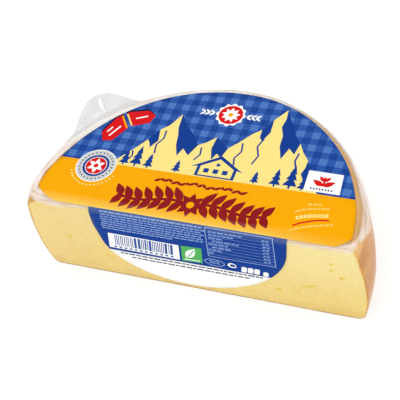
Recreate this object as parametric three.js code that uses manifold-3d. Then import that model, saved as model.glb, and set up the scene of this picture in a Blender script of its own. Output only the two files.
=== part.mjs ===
// Half a wheel of washed-rind cheese, sealed in clear film, with a printed label.
// The label lies on the flat top, bends over the edge and hangs down the cut face.
// Millimetres, +Z up, +X to the right along the cut face, which looks towards -Y.
// The origin is on the table, under the middle of the whole pack.

import * as THREE from 'three';
import { mergeVertices } from 'three/addons/utils/BufferGeometryUtils.js';
import Module from 'manifold-3d';

const wasm = await Module();
wasm.setup();

// Driving dimensions of the half wheel
const HEIGHT = 49;
const WIDEST_RADIUS = 77.5;
const WIDEST_HEIGHT = 19.8;
const UPPER_SIDE_ARC = 140;
const LOWER_SIDE_ARC = 67;
const CUT_OFFSET = 4.3;
const SHOULDER_FILLET = 3.2;
const BASE_FILLET = 3.5;
const CUT_BASE_FILLET = 0.15;
// The cut's upright corners are rounder at the top than lower down
const CUT_CORNER_FILLET = { low: 0.6, top: 1.4 };
const CUT_CORNER_LOW_END = 31;
const CUT_CORNER_TOP_START = 45;

// How far the bulging side lies outside a true circle, by direction in degrees
const OUT_OF_ROUND = [
  [0, 0],
  [10, 0.1],
  [20, -0.4],
  [30, -0.8],
  [50, -0.9],
  [65, -0.7],
  [75, -0.2],
  [90, -0.3],
  [105, -0.6],
  [115, -0.5],
  [122, 0],
  [170, 0],
  [180, 0.4],
];

// The cut's left corner is worn at the top: depth and width of what is missing, and the
// heights between which the wear sets in
const WORN_CORNER_DEPTH = 1.8;
const WORN_CORNER_WIDTH = 8;
const WORN_CORNER_START = 41.8;
const WORN_CORNER_FULL = 48.8;

// Driving dimensions of the seal band, a crumpled seam of film round the top's edge
const BAND_DROP = 8;
const BAND_RAGGEDNESS = 1.4;
const BAND_START = 1.2;
const BAND_EDGE = 2;
const BAND_CUT_DROP = 4.5;
const BAND_CUT_EDGE = 1;
const BAND_CUT_RELIEF = 0.5;
const BAND_FLAP_GAP = 2;
const BAND_FLAP_EDGE = 5;

// Greatest relief of the band on the side, by direction in degrees: it stands off at the left
const BAND_RELIEF = [
  [0, 0.4],
  [20, 0.2],
  [90, 0.2],
  [120, 0.5],
  [150, 1],
  [166, 1],
  [175, 0.4],
  [183, 0.2],
];

// Driving dimensions of the opening tab. Its edge is given by direction in degrees and radius.
const TAB_EDGE = [
  [123, 73.5],
  [127, 74.5],
  [130.8, 79.3],
  [133.1, 82.8],
  [135.9, 86.2],
  [138.4, 87.4],
  [141.7, 86.5],
  [145.3, 83.5],
  [148.5, 80.2],
  [151.2, 77.4],
  [154.5, 75.8],
  [158, 75.1],
  [162, 74.2],
];
const TAB_MIDDLE = 139.5;
const TAB_SPREAD = 15;
const TAB_ROOT_RADIUS = 72.4;
const TAB_LENGTH = 15.6;
const TAB_THICKNESS = 1.2;
const TAB_RISE = 3.2;
const TAB_CURL = 1.6;
const TAB_SINK = 0.3;

// Driving dimensions of the label. Its round edge is given by direction in degrees and radius.
const LABEL_EDGE = [
  [0, 72.1],
  [10, 71.7],
  [20, 71.1],
  [45, 71.1],
  [65, 71.6],
  [78, 71.5],
  [95, 70.9],
  [122, 70.4],
  [158, 70],
  [166, 70.6],
  [171, 71.3],
  [175, 70.9],
  [180, 70.9],
];
const LABEL_THICKNESS = 0.4;
const LABEL_GAP = 0.35;
const LABEL_LEFT_CORNER = { width: 12, depth: 7.6 };
const LABEL_RIGHT_CORNER = { width: 6.8, depth: 5.4 };
// Fullness of both corners' curve, where 1 is a straight bevel and 2 an ellipse
const LABEL_CORNER_POWER = 1.5;
const FLAP_HALF_WIDTH = 44.9;
const FLAP_CENTRE = 1.8;
const FLAP_SKEW = 0.15;
const FLAP_END_HEIGHT = 2.9;
const FLAP_ROUND_HEIGHT = 38.3;
// The flap's left side is cut straighter than the ellipse: by how much, where below the
// crease, and over which length
const FLAP_LEFT_TRIM = 1.6;
const FLAP_LEFT_TRIM_PLACE = 17.8;
const FLAP_LEFT_TRIM_LENGTH = 8;
const LABEL_TIP_TRIM = 0.03;

// Eyes in the cut face: middle across and up, half width and half height, all measured
const EYES = [
  { x: 67.4, z: 28.0, halfWidth: 1.5, halfHeight: 0.9 },
  { x: 63.7, z: 36.6, halfWidth: 1.1, halfHeight: 0.6 },
  { x: 63.2, z: 32.4, halfWidth: 1.0, halfHeight: 0.7 },
  { x: 53.2, z: 18.2, halfWidth: 1.8, halfHeight: 0.8 },
  { x: 49.6, z: 17.1, halfWidth: 1.6, halfHeight: 0.5 },
  { x: 38.0, z: 11.7, halfWidth: 1.9, halfHeight: 0.9 },
  { x: 46.7, z: 12.8, halfWidth: 0.9, halfHeight: 0.5 },
  { x: -42.6, z: 12.6, halfWidth: 1.7, halfHeight: 0.7 },
  { x: -60.5, z: 23.3, halfWidth: 1.2, halfHeight: 0.7 },
];
const EYE_DEPTH = 0.8;
const EYE_MOUTH = 0.13;

// Facet counts
const FRONT_STEPS = 28;
const CORNER_STEPS = 3;
const ARC_STEPS = 96;
const FILLET_STEPS = 5;
const SIDE_STEPS = 9;
const TAB_STEPS_ACROSS = 24;
const TAB_STEPS_OUT = 6;
const LABEL_STEPS_ACROSS = 16;
const LABEL_BACK_STEPS = 14;
const LABEL_ROUND_STEPS = 9;
const EDGE_PASSES = 12;

// Cross rows of the label through its rounded corners, as shares of the deeper one's depth
const CORNER_ROWS = [1, 0.81, 0.62, 0.36, 0.16, 0.05];
// Step between the two cross rows at the crease, where the flap begins
const CREASE_STEP = 0.001;

// The frame's origin is midway between the label's face in front and the rind at the back
const FRONT_REACH = CUT_OFFSET + LABEL_GAP + LABEL_THICKNESS;
const WHEEL_CENTRE_Y = (FRONT_REACH - WIDEST_RADIUS) / 2;

// Smooth step from 0 at a to 1 at b
function ramp(a, b, value) {
  return THREE.MathUtils.smoothstep((value - a) / (b - a), 0, 1);
}

// Value of a table in a direction, between the two given directions that lie on either side
function inDirection(table, degrees) {
  const after = table.findIndex(([direction]) => direction >= degrees);
  if (after <= 0) {
    return after === 0 ? table[0][1] : table[table.length - 1][1];
  }
  const [fromDirection, fromValue] = table[after - 1];
  const [toDirection, toValue] = table[after];
  const share = (degrees - fromDirection) / (toDirection - fromDirection);
  return THREE.MathUtils.lerp(fromValue, toValue, share);
}

// Direction of a point from the wheel's centre in degrees, from -90 in front of it to 270
function directionOf(point) {
  return THREE.MathUtils.radToDeg(Math.atan2(-point.x, point.y)) + 90;
}

// Turns a closed, indexed mesh into a solid that can be joined and cut, and back
function toSolid(geometry) {
  geometry.deleteAttribute('normal');
  geometry.deleteAttribute('uv');
  const merged = mergeVertices(geometry, 1e-4);
  return new wasm.Manifold(new wasm.Mesh({
    numProp: 3,
    vertProperties: new Float32Array(merged.attributes.position.array),
    triVerts: new Uint32Array(merged.index.array),
  }));
}

function toGeometry(solid) {
  const mesh = solid.getMesh();
  const geometry = new THREE.BufferGeometry();
  geometry.setAttribute('position', new THREE.BufferAttribute(mesh.vertProperties, 3));
  geometry.setIndex(new THREE.BufferAttribute(mesh.triVerts, 1));
  geometry.computeVertexNormals();
  return geometry;
}

function indexedGeometry(points, faces) {
  const geometry = new THREE.BufferGeometry();
  const flat = points.flatMap((p) => [p.x, p.y, p.z]);
  geometry.setAttribute('position', new THREE.Float32BufferAttribute(flat, 3));
  geometry.setIndex(faces.flat());
  geometry.computeVertexNormals();
  return geometry;
}

// Radius of the bulging side at a height, without the fillets
function sideRadius(z) {
  const arc = z > WIDEST_HEIGHT ? UPPER_SIDE_ARC : LOWER_SIDE_ARC;
  return WIDEST_RADIUS - (z - WIDEST_HEIGHT) ** 2 / (2 * arc);
}

// The rows of the film's surface from the middle of the base to the middle of the top.
// cutInset is how far the row lies behind the cut face, tilt is how far the surface has
// turned upwards, and cap shrinks the row towards the middle.
function surfaceRows() {
  const rows = [];
  const baseRadius = sideRadius(BASE_FILLET) - BASE_FILLET;
  rows.push({ radius: baseRadius, cutInset: CUT_BASE_FILLET, z: 0, tilt: 0, cap: 0.5 });
  for (let i = 0; i < FILLET_STEPS; i += 1) {
    const angle = (i / FILLET_STEPS) * (Math.PI / 2);
    rows.push({
      radius: baseRadius + BASE_FILLET * Math.sin(angle),
      cutInset: CUT_BASE_FILLET * (1 - Math.sin(angle)),
      z: BASE_FILLET * (1 - Math.cos(angle)),
      tilt: 0,
      cap: 1,
    });
  }
  const shoulderHeight = HEIGHT - SHOULDER_FILLET;
  for (let i = 0; i < SIDE_STEPS; i += 1) {
    const z = THREE.MathUtils.lerp(BASE_FILLET, shoulderHeight, i / SIDE_STEPS);
    rows.push({ radius: sideRadius(z), cutInset: 0, z, tilt: 0, cap: 1 });
  }
  const topRadius = sideRadius(shoulderHeight) - SHOULDER_FILLET;
  for (let i = 0; i < FILLET_STEPS; i += 1) {
    const angle = (i / FILLET_STEPS) * (Math.PI / 2);
    rows.push({
      radius: topRadius + SHOULDER_FILLET * Math.cos(angle),
      cutInset: SHOULDER_FILLET * (1 - Math.cos(angle)),
      z: shoulderHeight + SHOULDER_FILLET * Math.sin(angle),
      tilt: angle,
      cap: 1,
    });
  }
  for (const cap of [1, 0.5]) {
    rows.push({ radius: topRadius, cutInset: SHOULDER_FILLET, z: HEIGHT, tilt: Math.PI / 2, cap });
  }
  return rows;
}

// Radius of the cut's upright corners at a height
function cornerFillet(z) {
  const { low, top } = CUT_CORNER_FILLET;
  return THREE.MathUtils.lerp(low, top, ramp(CUT_CORNER_LOW_END, CUT_CORNER_TOP_START, z));
}

// Outline of a row seen from above: the straight cut, two rounded corners and the arc.
// Returns points with the outward direction at each, anticlockwise from the left corner.
// The points of the cut lie closer together towards the corners.
function outline(radius, cutInset, fillet) {
  const cutY = -CUT_OFFSET + cutInset;
  const filletY = cutY + fillet;
  const filletX = Math.sqrt((radius - fillet) ** 2 - filletY ** 2);
  const leftX = filletX + inDirection(OUT_OF_ROUND, 180);
  const joinAngle = Math.atan2(filletY, filletX);
  const ring = [];
  for (let i = 0; i < FRONT_STEPS; i += 1) {
    const share = (1 - Math.cos((i / FRONT_STEPS) * Math.PI)) / 2;
    const x = THREE.MathUtils.lerp(-leftX, filletX, share);
    ring.push({ x, y: cutY, outX: 0, outY: -1 });
  }
  const atCorner = () => fillet;
  const atSide = (degrees) => radius + inDirection(OUT_OF_ROUND, degrees);
  const addArc = (centreX, centreY, reachAt, from, to, steps) => {
    for (let i = 0; i < steps; i += 1) {
      const angle = THREE.MathUtils.lerp(from, to, i / steps);
      const outX = Math.cos(angle);
      const outY = Math.sin(angle);
      const reach = reachAt(THREE.MathUtils.radToDeg(angle));
      ring.push({ x: centreX + reach * outX, y: centreY + reach * outY, outX, outY });
    }
  };
  addArc(filletX, filletY, atCorner, -Math.PI / 2, joinAngle, CORNER_STEPS);
  addArc(0, 0, atSide, joinAngle, Math.PI - joinAngle, ARC_STEPS);
  addArc(-leftX, filletY, atCorner, Math.PI - joinAngle, 1.5 * Math.PI, CORNER_STEPS);
  return ring;
}

// Uneven height of the crumpled seam, from 0 to 1: long swells and short wrinkles,
// each the product of two waves whose counts never meet
function crumple(angle, z) {
  const swell = Math.sin(9 * angle + 0.4) * Math.sin(4 * angle - 0.7);
  const wrinkle = Math.sin(31 * angle + 0.55 * z) * Math.sin(17 * angle - 0.3 * z + 1);
  return 0.5 + 0.2 * swell + 0.3 * wrinkle;
}

// How far the seam stands off the film's smooth surface at a point of a row
function seamRelief(point, row) {
  const { z } = row;
  if (z <= 0 || z >= HEIGHT) {
    return 0;
  }
  const angle = Math.atan2(point.y, point.x);
  const onCut = point.outY < -0.99;
  if (onCut) {
    const flapEdge = FLAP_HALF_WIDTH + BAND_FLAP_GAP;
    const besideFlap = ramp(flapEdge, flapEdge + BAND_FLAP_EDGE, Math.abs(point.x));
    const stripBottom = HEIGHT - BAND_CUT_DROP;
    const aboveBottom = ramp(stripBottom, stripBottom + BAND_CUT_EDGE, z);
    const belowLabel = ramp(HEIGHT, HEIGHT - SHOULDER_FILLET, z);
    return BAND_CUT_RELIEF * besideFlap * aboveBottom * belowLabel * crumple(3 * angle, z);
  }
  const drop = BAND_DROP + BAND_RAGGEDNESS * Math.sin(7 * angle) * Math.sin(3 * angle + 1);
  const aboveEdge = ramp(HEIGHT - drop, HEIGHT - drop + BAND_EDGE, z);
  const beyondLabel = ramp(HEIGHT, HEIGHT - BAND_START, z);
  const relief = inDirection(BAND_RELIEF, directionOf(point));
  return relief * aboveEdge * beyondLabel * crumple(angle, z);
}

// How far the worn corner lies inside the outline at a point of a row
function wear(point, row) {
  const away = Math.hypot(point.x + row.radius, point.y + CUT_OFFSET - row.cutInset);
  const depth = WORN_CORNER_DEPTH * Math.exp(-((away / WORN_CORNER_WIDTH) ** 2));
  return depth * ramp(WORN_CORNER_START, WORN_CORNER_FULL, row.z);
}

// The film and the cheese in it, as one closed surface
function wrappedBody() {
  const rows = surfaceRows();
  const middleY = (WIDEST_RADIUS - CUT_OFFSET) / 2;
  const points = [];
  for (const row of rows) {
    for (const point of outline(row.radius, row.cutInset, cornerFillet(row.z))) {
      const relief = seamRelief(point, row);
      const outward = relief * Math.cos(row.tilt) - wear(point, row);
      const x = (point.x + point.outX * outward) * row.cap;
      const y = middleY + (point.y + point.outY * outward - middleY) * row.cap;
      points.push(new THREE.Vector3(x, y, row.z + relief * Math.sin(row.tilt)));
    }
  }
  const ringSize = points.length / rows.length;
  const faces = [];
  for (let r = 0; r + 1 < rows.length; r += 1) {
    for (let i = 0; i < ringSize; i += 1) {
      const j = (i + 1) % ringSize;
      const low = r * ringSize;
      const high = low + ringSize;
      faces.push([low + i, low + j, high + j], [low + i, high + j, high + i]);
    }
  }
  const baseMiddle = points.push(new THREE.Vector3(0, middleY, 0)) - 1;
  const topMiddle = points.push(new THREE.Vector3(0, middleY, HEIGHT)) - 1;
  const lastRow = (rows.length - 1) * ringSize;
  for (let i = 0; i < ringSize; i += 1) {
    const j = (i + 1) % ringSize;
    faces.push([baseMiddle, j, i], [topMiddle, lastRow + i, lastRow + j]);
  }
  return indexedGeometry(points, faces);
}

// A thin closed body from two sheets of points, the lower one first, joined round their edge.
// Each sheet is a list of rows, and the rows follow each other clockwise seen from above.
function sheetGeometry(points, rowCount, rowSize) {
  const sheet = rowCount * rowSize;
  const faces = [];
  const quad = (a, b, c, d) => faces.push([a, b, c], [a, c, d]);
  for (let r = 0; r + 1 < rowCount; r += 1) {
    for (let i = 0; i + 1 < rowSize; i += 1) {
      const a = r * rowSize + i;
      const next = a + rowSize;
      quad(a, a + 1, next + 1, next);
      quad(sheet + a, sheet + next, sheet + next + 1, sheet + a + 1);
    }
    const first = r * rowSize;
    const last = first + rowSize - 1;
    quad(first, first + rowSize, sheet + first + rowSize, sheet + first);
    quad(last, sheet + last, sheet + last + rowSize, last + rowSize);
  }
  const end = (rowCount - 1) * rowSize;
  for (let i = 0; i + 1 < rowSize; i += 1) {
    quad(i, sheet + i, sheet + i + 1, i + 1);
    quad(end + i, end + i + 1, sheet + end + i + 1, sheet + end + i);
  }
  return indexedGeometry(points, faces);
}

// The opening tab: a leaf of two film layers that stands out from the seam at the back left
function openingTab() {
  const points = [];
  const first = TAB_EDGE[0][0];
  const last = TAB_EDGE[TAB_EDGE.length - 1][0];
  for (const side of [-1, 1]) {
    for (let i = 0; i <= TAB_STEPS_ACROSS; i += 1) {
      const direction = THREE.MathUtils.lerp(last, first, i / TAB_STEPS_ACROSS);
      const angle = THREE.MathUtils.degToRad(direction);
      const turn = THREE.MathUtils.clamp((direction - TAB_MIDDLE) / TAB_SPREAD, -1, 1);
      const reach = inDirection(TAB_EDGE, direction) - TAB_ROOT_RADIUS;
      for (let k = 0; k <= TAB_STEPS_OUT; k += 1) {
        const beyondRoot = (reach * k) / TAB_STEPS_OUT;
        const radius = TAB_ROOT_RADIUS + beyondRoot;
        const lift = (TAB_RISE - TAB_CURL * turn ** 2) * (beyondRoot / TAB_LENGTH);
        const middle = HEIGHT - TAB_SINK - TAB_THICKNESS / 2 + lift;
        const z = middle + side * (TAB_THICKNESS / 2);
        points.push(new THREE.Vector3(radius * Math.cos(angle), radius * Math.sin(angle), z));
      }
    }
  }
  return sheetGeometry(points, TAB_STEPS_ACROSS + 1, TAB_STEPS_OUT + 1);
}

// Small eyes of the paste, which show as dents in the cut face
function eyeDents() {
  return EYES.map((eye) => {
    const dent = new THREE.SphereGeometry(1, 10, 6);
    dent.scale(eye.halfWidth, EYE_DEPTH, eye.halfHeight);
    dent.translate(eye.x, -CUT_OFFSET - EYE_MOUTH, eye.z);
    return dent;
  });
}

function wrappedCheese() {
  let solid = toSolid(wrappedBody()).add(toSolid(openingTab()));
  for (const dent of eyeDents()) {
    solid = solid.subtract(toSolid(dent));
  }
  const material = new THREE.MeshStandardMaterial({ color: 0xf0d890, roughness: 0.3, metalness: 0 });
  const mesh = new THREE.Mesh(toGeometry(solid), material);
  mesh.name = 'wrapped_cheese';
  return mesh;
}

// Length of label between the crease in the middle of the rounded edge and the flat cut face
const EDGE_RADIUS = SHOULDER_FILLET + LABEL_GAP;
const HALF_EDGE = EDGE_RADIUS * (Math.PI / 4);
const FLAP_LENGTH = HALF_EDGE + HEIGHT - SHOULDER_FILLET - FLAP_END_HEIGHT;
// How far the crease lies in front of the wheel's centre, measured along the label
const CREASE_REACH = CUT_OFFSET - SHOULDER_FILLET + HALF_EDGE;

// Where a point of the flat label comes to lie. along runs back from the crease, and is
// negative down the flap. lift is the distance from the film.
function onLabel(across, along, lift) {
  const radius = SHOULDER_FILLET + lift;
  if (along > HALF_EDGE) {
    const y = -CUT_OFFSET + SHOULDER_FILLET + (along - HALF_EDGE);
    return new THREE.Vector3(across, y, HEIGHT + lift);
  }
  if (along > -HALF_EDGE) {
    const angle = Math.PI / 4 + (along / HALF_EDGE) * (Math.PI / 4);
    const y = -CUT_OFFSET + SHOULDER_FILLET - radius * Math.cos(angle);
    return new THREE.Vector3(across, y, HEIGHT - SHOULDER_FILLET + radius * Math.sin(angle));
  }
  const down = -along - HALF_EDGE;
  return new THREE.Vector3(across, -CUT_OFFSET - lift, HEIGHT - SHOULDER_FILLET - down);
}

// How far the label's round edge reaches to one side, at a distance behind the wheel's centre
function roundReach(side, behind) {
  let reach = 0;
  for (let pass = 0; pass < EDGE_PASSES; pass += 1) {
    const direction = THREE.MathUtils.radToDeg(Math.atan2(behind, side * reach));
    reach = Math.sqrt(Math.max(inDirection(LABEL_EDGE, direction) ** 2 - behind ** 2, 0));
  }
  return reach;
}

// How much a rounded corner takes off the label's side, at a distance from the crease
function cornerCut({ width, depth }, along) {
  const intoCorner = Math.max(depth - along, 0) / depth;
  const power = LABEL_CORNER_POWER;
  return width * (1 - (1 - intoCorner ** power) ** (1 / power));
}

// Left and right edge of the flat label at a distance from the crease
function labelEdges(along) {
  if (along >= 0) {
    const behind = Math.max(along - CREASE_REACH, 0);
    const left = roundReach(-1, behind) - cornerCut(LABEL_LEFT_CORNER, along);
    const right = roundReach(1, behind) - cornerCut(LABEL_RIGHT_CORNER, along);
    return [-left, right];
  }
  const height = FLAP_END_HEIGHT + FLAP_LENGTH + along;
  const intoRound = Math.max(FLAP_ROUND_HEIGHT - height, 0) / (FLAP_ROUND_HEIGHT - FLAP_END_HEIGHT);
  const half = FLAP_HALF_WIDTH * Math.sqrt(Math.max(1 - intoRound ** 2, 0));
  const middle = FLAP_CENTRE + FLAP_SKEW * along;
  const fromTrim = (along + FLAP_LEFT_TRIM_PLACE) / FLAP_LEFT_TRIM_LENGTH;
  const trim = FLAP_LEFT_TRIM * Math.exp(-(fromTrim ** 2));
  return [middle - half + trim, middle + half];
}

// Distances from the crease at which the label's cross rows lie, from the back to the flap's end
function labelRows() {
  const rows = [];
  for (let i = 0; i < LABEL_BACK_STEPS; i += 1) {
    const turn = (i / LABEL_BACK_STEPS) * (Math.PI / 2);
    const along = CREASE_REACH + inDirection(LABEL_EDGE, 90) * Math.cos(turn);
    rows.push(i === 0 ? along - LABEL_TIP_TRIM : along);
  }
  for (const share of CORNER_ROWS) {
    rows.push(LABEL_LEFT_CORNER.depth * share);
  }
  rows.push(0, -CREASE_STEP);
  for (const share of [0.33, 0.66, 1]) {
    rows.push(-HALF_EDGE * share);
  }
  const roundStart = -HALF_EDGE - (HEIGHT - SHOULDER_FILLET - FLAP_ROUND_HEIGHT);
  const roundDepth = FLAP_ROUND_HEIGHT - FLAP_END_HEIGHT;
  rows.push((roundStart - HALF_EDGE) / 2);
  for (let i = 0; i <= LABEL_ROUND_STEPS; i += 1) {
    const turn = (i / LABEL_ROUND_STEPS) * (Math.PI / 2);
    const along = roundStart - roundDepth * Math.sin(turn);
    rows.push(i === LABEL_ROUND_STEPS ? along + LABEL_TIP_TRIM : along);
  }
  return rows;
}

// The label as one bent sheet with both faces and its cut edge
function labelGeometry() {
  const rows = labelRows();
  const points = [];
  for (const lift of [LABEL_GAP, LABEL_GAP + LABEL_THICKNESS]) {
    for (const along of rows) {
      const [left, right] = labelEdges(along);
      for (let i = 0; i <= LABEL_STEPS_ACROSS; i += 1) {
        const across = THREE.MathUtils.lerp(left, right, i / LABEL_STEPS_ACROSS);
        points.push(onLabel(across, along, lift));
      }
    }
  }
  return sheetGeometry(points, rows.length, LABEL_STEPS_ACROSS + 1);
}

function label() {
  const material = new THREE.MeshStandardMaterial({ color: 0xf2a81c, roughness: 0.35, metalness: 0 });
  const mesh = new THREE.Mesh(labelGeometry(), material);
  mesh.name = 'label';
  return mesh;
}

const pack = new THREE.Group();
pack.add(wrappedCheese(), label());
pack.position.y = WHEEL_CENTRE_Y;

export default pack;
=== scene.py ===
import random
from math import copysign, cos, exp, pi, radians, sin

import bpy
import numpy as np
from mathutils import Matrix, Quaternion, Vector, noise
from mathutils.geometry import delaunay_2d_cdt


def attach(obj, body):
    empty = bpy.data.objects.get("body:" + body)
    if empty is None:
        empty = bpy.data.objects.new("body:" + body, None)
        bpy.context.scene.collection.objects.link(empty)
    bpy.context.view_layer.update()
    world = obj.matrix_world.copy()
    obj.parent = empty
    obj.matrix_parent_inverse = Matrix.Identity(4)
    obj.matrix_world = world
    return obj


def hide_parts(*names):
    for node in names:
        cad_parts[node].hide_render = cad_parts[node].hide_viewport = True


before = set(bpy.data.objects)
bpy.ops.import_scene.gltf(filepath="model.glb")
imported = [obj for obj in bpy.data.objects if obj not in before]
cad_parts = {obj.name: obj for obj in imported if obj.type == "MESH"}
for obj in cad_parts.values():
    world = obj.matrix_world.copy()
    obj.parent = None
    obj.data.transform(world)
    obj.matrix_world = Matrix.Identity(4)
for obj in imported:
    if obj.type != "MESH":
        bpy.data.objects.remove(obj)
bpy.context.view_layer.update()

# Half a wheel of washed-rind cheese in clear film, with a printed label.
# Shapes are worked out in millimetres about the wheel's centre, with the table at z = 0,
# and go into the frame with MM and WHEEL_CENTRE_Y.
MM = 0.001

# The half wheel
HEIGHT = 49.0
WIDEST_RADIUS = 77.5
WIDEST_HEIGHT = 19.8
UPPER_SIDE_ARC = 140.0
LOWER_SIDE_ARC = 67.0
CUT_OFFSET = 4.3
SHOULDER_FILLET = 3.2
BASE_FILLET = 3.5
CUT_BASE_FILLET = 0.15
# The cut's upright corners: radius low down and at the top, and the heights between
LOW_CORNER_FILLET = 0.6
CUT_CORNER_FILLET = 1.4
CUT_CORNER_HEIGHTS = (31, 45)

# How far the bulging side lies outside a true circle: direction in degrees, and distance
OUT_OF_ROUND = np.array([
    (0, 0.0), (10, 0.1), (20, -0.4), (30, -0.8), (50, -0.9), (65, -0.7), (75, -0.2),
    (90, -0.3), (105, -0.6), (115, -0.5), (122, 0.0), (170, 0.0), (180, 0.4),
])

# How far the left corner lies out with the side
LEFT_BULGE = float(OUT_OF_ROUND[-1, 1])

# Wear of the cut's top left corner: depth, width, and the heights between which it sets in
WORN_CORNER_DEPTH = 1.8
WORN_CORNER_WIDTH = 8.0
WORN_CORNER_HEIGHTS = (41.8, 48.8)

# How far the label's face lies in front of the cut
LABEL_FACE = 0.75
WHEEL_CENTRE_Y = (CUT_OFFSET + LABEL_FACE - WIDEST_RADIUS) / 2

# The cheese lies this far under the film's surface
FILM_GAP = 0.15

# Eyes in the cut face: middle across and up, half width, half height and depth
EYES = [
    (67.4, 28.0, 1.3, 1.15, 0.6), (63.7, 36.6, 1.0, 0.75, 0.45), (63.2, 32.4, 0.95, 0.8, 0.45),
    (54.0, 18.5, 1.1, 0.95, 0.5), (51.8, 17.7, 1.3, 0.6, 0.35), (49.4, 17.0, 1.4, 0.55, 0.3),
    (38.0, 11.7, 1.6, 1.1, 0.5), (46.7, 12.8, 0.8, 0.6, 0.3), (-41.6, 11.7, 1.2, 0.8, 0.35),
    (-43.6, 13.2, 1.3, 0.8, 0.4), (-60.5, 23.3, 1.2, 0.9, 0.35),
]

# Wedge of thick rind at the cut face's top left corner: how far it reaches across and down
RIND_WEDGE = (15.0, 6.2)

# The label's round edge: direction from the wheel's centre in degrees, and radius
LABEL_EDGE = np.array([
    (0, 72.1), (10, 71.7), (20, 71.1), (45, 71.1), (65, 71.6), (78, 71.5), (95, 70.9),
    (122, 70.4), (158, 70.0), (166, 70.6), (171, 71.3), (175, 70.9), (180, 70.9),
])
LABEL_RIGHT = float(LABEL_EDGE[0, 1])
LABEL_LEFT = float(LABEL_EDGE[-1, 1])

# Rounded corners of the label at its crease: width, depth, and how full the curve is, where 1
# is a straight bevel and 2 an ellipse
LABEL_LEFT_CORNER = (12.0, 7.6)
LABEL_RIGHT_CORNER = (6.8, 5.4)
CORNER_POWER = 1.5
FLAP_HALF_WIDTH = 44.9
FLAP_CENTRE = 1.8
FLAP_SKEW = 0.15
FLAP_END_HEIGHT = 2.9
FLAP_ROUND_HEIGHT = 38.3
# The flap's left side is cut straighter than the ellipse: by how much, where along the label,
# and over which length
FLAP_LEFT_TRIM = (1.6, -17.8, 8.0)
LABEL_LIFT = 0.2
LABEL_THICKNESS = 0.14
# The label's cut edge shows as white paper within this distance of the crease
CREASE_RIM = 4.0

# Length along the film from the top's edge down to the side, to the base fillet and to the base
SHOULDER_END = SHOULDER_FILLET * pi / 2
SIDE_END = SHOULDER_END + HEIGHT - SHOULDER_FILLET - BASE_FILLET
BASE_END = SIDE_END + BASE_FILLET * pi / 2

# Length of label from the crease in the middle of the rounded edge to the flat face
HALF_EDGE = (SHOULDER_FILLET + 0.35) * pi / 4
CREASE_REACH = CUT_OFFSET - SHOULDER_FILLET + HALF_EDGE

# Flat maps hold millimetres times this
MAP_SCALE = 0.01


def srgb(red, green, blue):
    """A colour from 0 to 255 as the linear colour that a shader takes"""
    linear = []
    for value in (red, green, blue):
        share = value / 255
        linear.append(share / 12.92 if share <= 0.04045 else ((share + 0.055) / 1.055) ** 2.4)
    return (*linear, 1.0)


def ramp(low, high, value):
    """Smooth step from 0 at low to 1 at high"""
    share = np.clip((value - low) / (high - low), 0, 1)
    return share * share * (3 - 2 * share)


# Surface of the pack


def side_radius(z):
    arc = np.where(z > WIDEST_HEIGHT, UPPER_SIDE_ARC, LOWER_SIDE_ARC)
    return WIDEST_RADIUS - (z - WIDEST_HEIGHT) ** 2 / (2 * arc)


def profile(down):
    """Radius, inset of the cut face, height and upward tilt of the film, at a length down from
    the top's edge. Negative lengths lie on the flat top."""
    down = np.asarray(down, float)
    top_radius = side_radius(HEIGHT - SHOULDER_FILLET) - SHOULDER_FILLET
    base_radius = side_radius(BASE_FILLET) - BASE_FILLET
    turn = np.clip(pi / 2 - down / SHOULDER_FILLET, 0, pi / 2)
    under = np.clip((down - SIDE_END) / BASE_FILLET, 0, pi / 2)
    side_z = HEIGHT - SHOULDER_FILLET - (down - SHOULDER_END)
    on_base = down > SIDE_END
    below_top = [on_base, down > SHOULDER_END]
    radius = np.select(below_top, [base_radius + BASE_FILLET * np.cos(under), side_radius(side_z)],
                       top_radius + SHOULDER_FILLET * np.cos(turn) + np.minimum(down, 0))
    z = np.select(below_top, [BASE_FILLET * (1 - np.sin(under)), side_z],
                  HEIGHT - SHOULDER_FILLET + SHOULDER_FILLET * np.sin(turn))
    inset = np.where(on_base, CUT_BASE_FILLET * (1 - np.cos(under)),
                     SHOULDER_FILLET * (1 - np.cos(turn)) - np.minimum(down, 0))
    return radius, inset, z, np.where(on_base, -under, turn)


def corner_fillet(z):
    """Radius of the cut's upright corners at a height"""
    return LOW_CORNER_FILLET + (CUT_CORNER_FILLET - LOW_CORNER_FILLET) * ramp(*CUT_CORNER_HEIGHTS, z)


def front_reach(radius, inset, fillet):
    """Length of the straight cut from the middle to the right rounded corner"""
    fillet_y = -CUT_OFFSET + inset + fillet
    return np.sqrt((radius - fillet) ** 2 - fillet_y**2)


def outline(columns, radius, inset, fillet):
    """Points of the half wheel's outline and the outward direction at each, anticlockwise from
    the left corner. A column is its stretch (0 cut, 1 right corner, 2 arc, 3 left corner) and
    its share along it."""
    stretch, share = columns
    which = stretch.astype(int)
    fillet_y = -CUT_OFFSET + inset + fillet
    fillet_x = front_reach(radius, inset, fillet)
    left_x = fillet_x + LEFT_BULGE
    join = np.arctan2(fillet_y, fillet_x)
    corner = share * (join + pi / 2)
    arc = join + share * (pi - 2 * join)
    angle = np.choose(which, [-pi / 2, -pi / 2 + corner, arc, pi - join + corner])
    centre_x = np.choose(which, [share * (left_x + fillet_x) - left_x, fillet_x, 0, -left_x])
    centre_y = np.where(stretch == 2, 0, fillet_y)
    out_x = np.where(stretch == 0, 0, np.cos(angle))
    out_y = np.sin(angle)
    uneven = np.interp(np.degrees(angle), *OUT_OF_ROUND.T)
    reach = np.where(stretch == 2, radius + uneven, fillet)
    return centre_x + reach * out_x, centre_y + reach * out_y, out_x, out_y


def wear(x, y, radius, inset, z):
    """How far the worn corner lies inside the outline"""
    away = np.hypot(x + radius, y + CUT_OFFSET - inset) / WORN_CORNER_WIDTH
    return WORN_CORNER_DEPTH * np.exp(-(away**2)) * ramp(*WORN_CORNER_HEIGHTS, z)


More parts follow.
